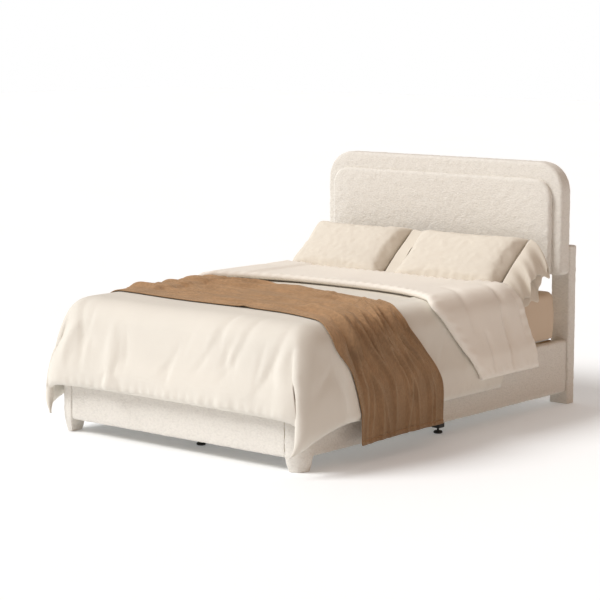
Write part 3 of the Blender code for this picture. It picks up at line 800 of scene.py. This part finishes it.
def filled(grid, thickness, soft_edge, creases, seed):
    """Upper and lower faces of a quilt round its middle surface.

    The filling is full inside and pinched to a seam at the hem, where it puckers.
    """
    rows, row = grid.shape[:2]
    step_u = float(np.median(np.linalg.norm(np.gradient(grid, axis=1), axis=2)))
    step_v = float(np.median(np.linalg.norm(np.gradient(grid, axis=0), axis=2)))
    flat_u = np.arange(row) * step_u - 0.5 * (row - 1) * step_u
    flat_v = np.arange(rows) * step_v
    across, along = np.meshgrid(flat_u, flat_v)
    from_hem = np.minimum(
        np.minimum(across - flat_u[0], flat_u[-1] - across),
        np.minimum(along, flat_v[-1] - along))
    share = np.clip(from_hem / soft_edge, 0, 1)
    half = 0.5 * (DUVET_HEM + (thickness - DUVET_HEM) * np.sqrt(1 - (1 - share) ** 2))
    random = np.random.default_rng(seed)
    puffs = np.zeros_like(across)
    for _ in range(PUFFS):
        turn, scale = random.uniform(0, math.pi), random.uniform(4.0, 14.0)
        phase = random.uniform(0, 2 * math.pi)
        puffs += np.sin(scale * (across * math.cos(turn) + along * math.sin(turn)) + phase) / PUFFS
    pucker_band = np.exp(-((from_hem - PUCKER_SEAM) / PUCKER_BAND) ** 2)
    run = np.where(np.minimum(along, flat_v[-1] - along) < from_hem + 0.001, across, along)
    puckers = np.sin(run * 2 * math.pi / PUCKER_PITCH + 1.7 * np.sin(run * 9.0)) * 0.5
    upper_half = half * (1 + 0.45 * puffs) + PUCKER_RISE * puckers * pucker_band
    for start, end, height, width in creases:
        upper_half = upper_half + ridge(across, along, start, end, height, width)
    normals = grid_normals(grid)
    upper = grid + normals * upper_half[:, :, None]
    lower = grid - normals * half[:, :, None]
    return upper, lower


def relaxed(grid, weight, rounds):
    """Even out a cloth's folds where weight is 1; its rim only moves along the rim."""
    for _ in range(rounds):
        around = grid.copy()
        around[1:-1, 1:-1] = 0.25 * (grid[:-2, 1:-1] + grid[2:, 1:-1]
                                     + grid[1:-1, :-2] + grid[1:-1, 2:])
        for row in (0, -1):
            around[row, 1:-1] = 0.5 * (grid[row, :-2] + grid[row, 2:])
            around[1:-1, row] = 0.5 * (grid[:-2, row] + grid[2:, row])
        grid = grid + 0.6 * weight[:, :, None] * (around - grid)
    return grid


def corner_share(grid, reach):
    """1 at the two foot corners of a duvet's grid, fading away over that reach in metres."""
    rows, row = grid.shape[:2]
    flat_x, flat_y = np.meshgrid(np.linspace(-0.5, 0.5, row) * DUVET_FLAT[0],
                                 np.linspace(0.0, 1.0, rows) * DUVET_FLAT[1])
    from_corner = np.hypot(0.5 * DUVET_FLAT[0] - np.abs(flat_x), flat_y)
    return np.exp(-(from_corner / reach) ** 2)


def refined(grid):
    """The same surface with a point between every two, on a smooth curve through them."""
    for axis in (0, 1):
        grid = np.moveaxis(grid, axis, 0)
        padded = np.concatenate([2 * grid[:1] - grid[1:2], grid, 2 * grid[-1:] - grid[-2:-1]])
        between = (9 * (padded[1:-2] + padded[2:-1]) - padded[:-3] - padded[3:]) / 16
        finer = np.empty((2 * len(grid) - 1,) + grid.shape[1:])
        finer[::2] = grid
        finer[1::2] = between
        grid = np.moveaxis(finer, 0, axis)
    return grid


def swing_limited(grid, free, give):
    """Bring cloth that swings out beyond free back by all but give of what is over."""
    reach = np.abs(grid[:, :, 0])
    limited = np.minimum(reach, free) + give * np.maximum(reach - free, 0)
    grid[:, :, 0] = np.sign(grid[:, :, 0]) * limited


def wrinkles(count, seed):
    """Short soft creases over the foot end and the two flanks of the duvet."""
    random = np.random.default_rng(seed)
    found = []
    for index in range(count):
        if index % 3:
            start = (random.uniform(-0.85, 0.85), random.uniform(0.05, 0.22))
            lean = (random.uniform(-0.07, 0.07), random.uniform(0.10, 0.26))
        else:
            side = random.choice((-1.0, 1.0))
            start = (side * random.uniform(0.70, 0.86), random.uniform(0.15, 1.5))
            lean = (side * random.uniform(0.10, 0.20), random.uniform(-0.08, 0.08))
        end = (start[0] + lean[0], start[1] + lean[1])
        found.append((start, end, random.uniform(-0.0075, 0.006), random.uniform(0.014, 0.034)))
    return tuple(found)


def drape(name, flat, head, rest, across, along, held_to, frames, bending=2.0, corner=0.0):
    """Let a flat quilt fall over the bed from its middle, which stays where it lies.

    Its two foot corners are cut to the radius corner.
    """
    width, length = flat

    def place(u, v):
        x, from_foot = (u - 0.5) * width, v * length
        out = (abs(x) - 0.5 * width + corner, corner - from_foot)
        if min(out) > 0:
            pull = 1 - max(out) / math.hypot(*out)
            x -= math.copysign(out[0] * pull, x)
            from_foot += out[1] * pull
        return (x, head - length + from_foot, rest)

    cloth = cloth_grid(name, across, along, place)
    start = coordinates(cloth.data)
    held = (np.abs(start[:, 0]) < 0.52) & (start[:, 1] > held_to)
    points = simulate(cloth, frames, pinned=np.nonzero(held)[0], stiffness=25.0, bending=bending,
                      weight=0.6, gap=0.014, quality=6, air=2.0)
    discard(cloth)
    return points.reshape(along + 1, across + 1, 3)


def bed_blocks(extra, rounding):
    """What the bedding hangs over: the mattress, the frame below it, and the floor."""
    return (
        soft_block("block_mattress", (SHEET[0].x - extra, SHEET[0].y - extra, MATTRESS[0].z),
                   (SHEET[1].x + extra, SHEET[1].y + extra, SHEET[1].z + extra), rounding),
        soft_block("block_frame", (POST[1].x * -1 - extra, LEG[0].y - extra, 0.0),
                   (POST[1].x + extra, POST[0].y, RAIL[1].z + extra), 0.03),
        soft_block("block_floor", (-2.0, -2.2, -0.5), (2.0, 2.0, 0.004), 0.001),
    )


def dress_cloth(piece, slot, node, body, levels=1):
    if levels:
        add_subdivision(piece, levels)
        apply_modifiers(piece)
    piece.data.materials.append(MATERIALS[slot])
    if node:
        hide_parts(node)
    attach(piece, body)


def fold_sweep(fold, foot, length):
    """How far the turned-back part swings along the bed.

    Its edge swings to the foot towards both sides, and its head corners to the head.
    """
    x, y, z = fold[:, :, 0], fold[:, :, 1], fold[:, :, 2]
    share = np.clip(1 - (y - foot) / length, 0, 1)
    hanging = np.clip((0.62 - z) / 0.36, 0, 1)
    edge = 0.055 - 0.20 * np.clip(np.abs(x) / 0.70, 0, 1.05) ** 3 + 0.30 * hanging
    return share * edge + (1 - share) * 0.09 * hanging


def add_duvet():
    """The duvet's main part, and its head end turned back over it to show the reverse.

    The main part's hanging head corners swing to the foot, and its foot corners are evened out.
    """
    blocks = bed_blocks(0.012, 0.075)
    head = DUVET[1].y
    main = drape("duvet_flat", DUVET_FLAT, head, CREST_Z, 84, 70, SHEET[0].y + 0.35, 60,
                 bending=3.5, corner=DUVET_CORNER)
    discard(*blocks)
    toward_foot = np.clip(1 - (head - main[:, :, 1]) / 0.45, 0, 1)
    main[:, :, 1] -= 0.13 * toward_foot * np.clip((0.58 - main[:, :, 2]) / 0.38, 0, 1)
    main = relaxed(main, corner_share(main, 0.30), 58)
    swing_limited(main, DUVET_SWING, 0.5)
    creases = DUVET_CREASES + wrinkles(42, 19)
    main_upper, main_lower = [
        relaxed(face, corner_share(face, 0.26), 26)
        for face in filled(refined(main), DUVET_FILL, 0.036, creases, 11)]
    duvet = shell("duvet_quilt", main_upper, main_lower)
    dress_cloth(duvet, "duvet_cotton", "duvet", "duvet", levels=0)

    blocks = bed_blocks(DUVET_FILL + 0.006, 0.080)
    fold = drape("fold_flat", FOLD_FLAT, FOLD_FOOT_Y + FOLD_FLAT[1],
                 CREST_Z + DUVET_FILL * 0.95, 84, 22, FOLD_FOOT_Y + 0.03, 45)
    discard(*blocks)
    fold[:, :, 1] += fold_sweep(fold, FOLD_FOOT_Y, FOLD_FLAT[1])
    upper, lower = filled(refined(fold), DUVET_FILL * 0.8, 0.035, FOLD_CREASES, 5)
    turned = shell("duvet_turned_back", upper, lower)
    dress_cloth(turned, "duvet_cotton", None, "duvet", levels=0)
    turned.data.materials[0] = REVERSE
    return main_upper


# ---- Throw ----
THROW_FLAT = (2.46, 0.66)
THROW_CLOTH = 0.006
THROW_LIFT = 0.007
THROW_STITCH = 0.022
THROW_EDGE_STATIONS = (-1.3, -0.9, -0.72, -0.06, 0.45, 0.62, 0.74, 0.86, 1.0, 1.3)
THROW_FOOT_EDGE = (-0.74, -0.74, -0.735, -0.775, -0.785, -0.825, -0.870, -0.825, -0.765, -0.750)
THROW_HEAD_EDGE = (-0.12, -0.11, -0.100, -0.050, -0.160, -0.320, -0.400, -0.260, -0.145, -0.130)
# A main fold is its start and end across the bed, the shares of the throw's width it has
# there, its rise and its width.
THROW_MAIN_FOLDS = (
    (0.05, 0.70, 0.62, 0.50, 0.024, 0.013),
    (0.22, 0.88, 0.76, 0.60, 0.024, 0.013),
    (0.12, 0.95, 0.86, 0.74, 0.017, 0.012),
    (0.34, 1.05, 0.50, 0.40, 0.024, 0.012),
    (0.40, 1.15, 0.70, 0.86, 0.024, 0.016),
    (0.30, 0.80, 0.34, 0.26, 0.016, 0.013),
    (-0.70, -0.10, 0.70, 0.60, 0.014, 0.014),
    (-0.60, 0.05, 0.42, 0.36, 0.013, 0.014),
    (0.62, 1.20, 0.20, 0.14, 0.018, 0.016),
)
THROW_SMALL_FOLDS = 96


def hanging_paths(surface):
    """Lines across the bed over a draped surface, which hang plumb from its widest point."""
    middle = surface.shape[1] // 2
    halves = []
    for columns in (range(middle, -1, -1), range(middle, surface.shape[1])):
        side = surface[:, list(columns)].copy()
        reach = np.abs(side[:, :, 0])
        hung = np.maximum.accumulate(reach, axis=1)
        sign = -1.0 if columns[-1] == 0 else 1.0
        side[:, :, 0] = sign * hung
        below = side[:, -1:].copy()
        below[:, :, 2] = 0.0
        side = np.concatenate([side, below], axis=1)
        steps = np.linalg.norm(np.diff(side, axis=1), axis=2)
        length = np.concatenate([np.zeros((side.shape[0], 1)), np.cumsum(steps, axis=1)], axis=1)
        halves.append((side, length))
    return halves


def over_duvet(halves, rows_y, across, y):
    """The point of the draped surface that is across from the middle and in line with y."""
    side, length = halves[0] if across < 0 else halves[1]
    row = float(np.interp(y, rows_y, np.arange(len(rows_y))))
    low = min(int(row), len(rows_y) - 2)
    share = row - low
    ends = []
    for index in (low, low + 1):
        ends.append([
            np.interp(abs(across), length[index], side[index, :, axis]) for axis in range(3)])
    return (1 - share) * np.array(ends[0]) + share * np.array(ends[1])


def throw_folds(across, along, random):
    """Long narrow folds that run with the throw's length, deepest where it is gathered."""
    folds = list(THROW_MAIN_FOLDS)
    for _ in range(THROW_SMALL_FOLDS):
        start = random.uniform(-1.25, 0.95)
        reach = random.uniform(0.25, 0.85)
        begin, slope = random.uniform(0.05, 0.95), random.uniform(-0.14, 0.14)
        folds.append((start, start + reach, begin, begin + slope,
                      random.uniform(0.008, 0.021), random.uniform(0.008, 0.017)))
    height = np.zeros_like(across)
    for start, end, begin, finish, tall, wide in folds:
        height += ridge(across, along * THROW_FLAT[1], (start, begin * THROW_FLAT[1]),
                        (end, finish * THROW_FLAT[1]), tall, wide)
    return height


def add_throw(duvet_surface):
    halves = hanging_paths(duvet_surface)
    rows_y = duvet_surface[:, duvet_surface.shape[1] // 2, 1]
    across_count, along_count = 190, 66
    flat = np.linspace(-0.5 * THROW_FLAT[0], 0.5 * THROW_FLAT[0], across_count - 7)
    seams = [0.5 * THROW_FLAT[0] - THROW_STITCH - step for step in (-0.004, 0.0, 0.003, 0.007)]
    flat = np.sort(np.concatenate([flat, seams, [-seam for seam in seams]]))
    smooth = np.linspace(-1.3, 1.3, 261)
    kernel = np.hanning(31) / np.hanning(31).sum()
    edges = []
    for edge in (THROW_FOOT_EDGE, THROW_HEAD_EDGE):
        rough = np.interp(smooth, THROW_EDGE_STATIONS, edge)
        padded = np.pad(rough, 15, mode="edge")
        edges.append(np.interp(flat, smooth, np.convolve(padded, kernel, mode="valid")))
    grid = np.zeros((along_count + 1, across_count + 1, 3))
    for v in range(along_count + 1):
        share = v / along_count
        for u in range(across_count + 1):
            y = BED_CENTRE + (1 - share) * edges[0][u] + share * edges[1][u]
            grid[v, u] = over_duvet(halves, rows_y, flat[u], y)
    across, along = np.meshgrid(flat, np.linspace(0, 1, along_count + 1))
    random = np.random.default_rng(7)
    folds = throw_folds(across, along, random)
    gathered = THROW_FLAT[1] / np.maximum(edges[1] - edges[0], 0.2)
    folds *= np.clip(0.80 + 1.2 * (gathered - 1), 0.7, 1.6)[None, :]
    from_end = 0.5 * THROW_FLAT[0] - np.abs(across)
    folds *= np.clip(0.45 + from_end / 0.12, 0, 1)
    hem = np.where(from_end < THROW_STITCH, 0.0022, 0.0)
    hem = hem - 0.0030 * np.exp(-((from_end - THROW_STITCH) / 0.003) ** 2)
    normals = grid_normals(grid, 3)
    rise = THROW_LIFT + folds
    upper = grid + normals * (rise + 0.5 * THROW_CLOTH + hem)[:, :, None]
    lower = grid + normals * (rise - 0.5 * THROW_CLOTH)[:, :, None]
    throw = shell("throw_wool", upper, lower)
    dress_cloth(throw, "throw_wool", "throw_blanket", "throw_blanket")


# ---- Pillows ----
PILLOW_DEPTH = {"lower": 0.250, "upper": 0.390}
PILLOW_HEIGHT = {"lower": 0.085, "upper": 0.115}
SEAM_SPARE = 0.016


def pillow_bag(name, length, depth, height, seed):
    """A flat closed pillow, slightly crowned, in its own plane with its middle at the origin."""
    across, along = 44, 30
    random = np.random.default_rng(seed)
    u, v = np.meshgrid(np.linspace(-1, 1, across + 1), np.linspace(-1, 1, along + 1))
    crown = np.sqrt(np.maximum(1 - u ** 4, 0)) * np.sqrt(np.maximum(1 - v ** 4, 0))
    jitter = random.normal(0, 0.0015, u.shape) * crown
    half = 0.0015 + 0.5 * height * crown + jitter
    flat = np.stack([0.5 * length * u, 0.5 * depth * v, np.zeros_like(u)], axis=2)
    lift = np.stack([np.zeros_like(u), np.zeros_like(u), half], axis=2)
    return shell(name, flat + lift, flat - lift)


def inflate(bag, limit):
    """Blow the bag up a little, so its faces crown and its seams pull into wrinkles."""
    start = coordinates(bag.data)
    points = simulate(bag, 16, stiffness=12.0, bending=0.25, weight=0.25, pressure=2.2,
                      gravity=0.0, quality=5)
    move = points - start
    far = np.linalg.norm(move, axis=1, keepdims=True)
    set_coordinates(bag.data, start + move * np.minimum(1, limit / np.maximum(far, 1e-9)))


def tilted(points, centre, degrees):
    angle = math.radians(degrees)
    y = points[:, 1] * math.cos(angle) - points[:, 2] * math.sin(angle)
    z = points[:, 1] * math.sin(angle) + points[:, 2] * math.cos(angle)
    return np.stack([points[:, 0] + centre[0], y + centre[1], z + centre[2]], axis=1)


def case_end(half_length, depth, reach, droop, ruffle, gape, seed):
    """The open end of a pillowcase: two layers beyond the pillow that fall in loose folds."""
    random = np.random.default_rng(seed)
    around, out = 96, 22
    phase = random.uniform(0, 2 * math.pi, 3)
    rings = []
    for j in range(out + 1):
        s = j / out
        ring = []
        for i in range(around):
            angle = 2 * math.pi * i / around
            v = math.cos(angle)
            layer = math.sin(angle)
            y = 0.5 * depth * 0.93 * v * (1 - 0.05 * s)
            open_by = (0.009 + gape * s) * layer * (1 - 0.3 * abs(v))
            wave = ruffle * s * (math.sin(7.0 * v + phase[0] + 0.8 * layer)
                                 + 0.5 * math.sin(15.0 * v + phase[1] + 1.2 * layer))
            x = half_length - 0.010 + reach * (s - 0.14 * droop * s * s)
            z = open_by + wave
            ring.append((x, y, z, s))
        rings.append(ring)
    vertices = np.array([point for ring in rings for point in ring])
    return vertices[:, :3], vertices[:, 3], grid_faces(around, out, wrap=True)


def add_pillow(node, tilt, seed, reach=0.0, droop=0.0, ruffle=0.0, gape=0.0, along_x=0.0,
               longer=0.0):
    """A filled pillow, and beyond it the open end of its case where that has any reach."""
    low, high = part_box(node)
    centre = 0.5 * (low + high)
    centre.x += along_x
    layer = node.split("_")[0]
    depth = PILLOW_DEPTH[layer]
    body_length = (high.x - low.x) + SEAM_SPARE + longer - reach
    shift = -0.5 * reach
    bag = pillow_bag(node + "_cushion", body_length, depth, PILLOW_HEIGHT[layer] * 0.80, seed)
    inflate(bag, 0.020)
    points = coordinates(bag.data)
    sag = 0.010 * (1 - (points[:, 0] / (0.5 * body_length)) ** 2)
    points[:, 1] -= sag * 0.3
    points[:, 0] += shift
    world = tilted(points, centre, tilt)
    world[:, 2] = np.maximum(world[:, 2], SHEET[1].z + 0.002)
    world[:, 1] = np.minimum(world[:, 1], PAD[0].y - 0.003)
    set_coordinates(bag.data, world)
    pieces = [bag]
    if reach:
        vertices, drop, faces = case_end(
            0.5 * body_length, depth, reach, droop, ruffle, gape, seed)
        vertices[:, 0] += shift
        placed_end = tilted(vertices, centre, tilt)
        placed_end[:, 2] -= droop * drop ** 1.6 * 0.5 * reach
        floor = SHEET[1].z + 0.004
        lies = (placed_end[:, 0] < SHEET[1].x + 0.004) & (placed_end[:, 2] < floor)
        placed_end[lies, 2] = floor
        end = new_object(node + "_case", placed_end, faces)
        face_outward(end)
        solid = end.modifiers.new("Cloth thickness", "SOLIDIFY")
        solid.thickness = 0.0022
        apply_modifiers(end)
        pieces.append(end)
    joined = join(pieces, node + "_soft")
    dress_cloth(joined, "pillow_cotton", node, node)
    roughen(joined, 0.0012, 0.05, seed)


def join(pieces, name):
    """Merge pieces into one object that holds their separate shells."""
    shape = bmesh.new()
    for piece in pieces:
        shape.from_mesh(piece.data)
    discard(*pieces)
    made = object_from(shape, name)
    made.data.shade_smooth()
    return made


def add_pillows():
    add_pillow("lower_pillow_left", 25.0, 2)
    add_pillow("lower_pillow_right", 25.0, 3)
    add_pillow("upper_pillow_left", 40.0, 4, reach=0.070, droop=0.1, ruffle=0.003, gape=0.002,
               along_x=0.012)
    add_pillow("upper_pillow_right", 40.0, 5, reach=0.145, droop=1.70, ruffle=0.024, gape=0.026,
               along_x=0.022, longer=0.108)


# ---- Fitted sheet ----
SHEET_CLOTH = 0.0018
SHEET_BULGE = 0.006


def add_fitted_sheet():
    """A stretched sheet over the mattress that runs down its sides to just above its bottom edge."""
    low, high = (SHEET[0].x, SHEET[0].y), (SHEET[1].x, SHEET[1].y)
    top, bottom = SHEET[1].z, MATTRESS[0].z + 0.012
    radii = (0.0624, 0.0624, 0.040, 0.040)
    bend = 0.036
    middle = 0.5 * (high[0] - low[0]) - 0.02
    outside = [(middle - step * 0.05, top) for step in range(int((middle - bend) / 0.05))]
    for step in range(6):
        angle = 0.5 * math.pi * step / 5
        outside.append((bend * (1 - math.sin(angle)), top - bend * (1 - math.cos(angle))))
    height = top - bend
    side_top = height
    while height > bottom + 0.02:
        height -= 0.02
        swell = math.sin(math.pi * (height - bottom) / (side_top - bottom))
        outside.append((-SHEET_BULGE * swell, height))
    outside.append((0.001, bottom))
    inside = [(inset + SHEET_CLOTH, height) for inset, height in reversed(outside)]
    inside = [(inset, height if inset < bend else height - SHEET_CLOTH) for inset, height in inside]
    outlines = [
        placed(spaced_rectangle(low, high, radii, inset, 0.022), "Z", height)
        for inset, height in outside + inside
    ]
    sheet = lofted("sheet_stretched", outlines)
    dress_cloth(sheet, "sheet_cotton", "fitted_sheet", "mattress")


# ---- Assembly ----
MATERIALS = {
    "boucle_fabric": boucle(),
    "foam": celled("foam_yellow", (0.82, 0.74, 0.48), 0.95, 420.0, (0.1, 1.1), (0.8, 0.8), 0.8),
    "plywood": plywood(),
    "hardwood": timber("hardwood_timber", (0.55, 0.38, 0.22)),
    "slat_wood": timber("slat_poplar", (0.68, 0.51, 0.32), contrast=0.15),
    "backing_cloth": plain("backing_cloth_black", (0.045, 0.042, 0.040), 0.9, grain=900.0,
                           depth=0.0004),
    "zinc_steel": plain("zinc_plate", (0.62, 0.62, 0.60), 0.35, 1.0),
    "black_wood": plain("black_paint", (0.018, 0.018, 0.018), 0.42),
    "black_plastic": plain("black_plastic", (0.014, 0.014, 0.014), 0.5),
    "mattress_ticking": celled("mattress_ticking", (0.86, 0.85, 0.82), 0.9, 240.0,
                               (0.1, 1.05), (0.9, 0.85), 0.6),
    "sheet_cotton": cotton("sheet_tan", (0.67, 0.54, 0.41)),
    "duvet_cotton": cotton("duvet_cream", (0.77, 0.735, 0.665)),
    "pillow_cotton": cotton("pillow_beige", (0.745, 0.69, 0.60)),
    "throw_wool": throw_knit(),
}
REVERSE = cotton("duvet_reverse_beige", (0.89, 0.84, 0.765))


def paint_cad_nodes():
    slots = {part["node"]: part["material_slot"] for part in frame["record"]["subparts"]}
    for name, node in nodes.items():
        node.data.materials.clear()
        node.data.materials.append(MATERIALS[slots[name]])


paint_cad_nodes()
add_headboard()
add_uprights()
add_rails()
add_fitted_sheet()
duvet_top = add_duvet()
add_throw(duvet_top)
add_pillows()
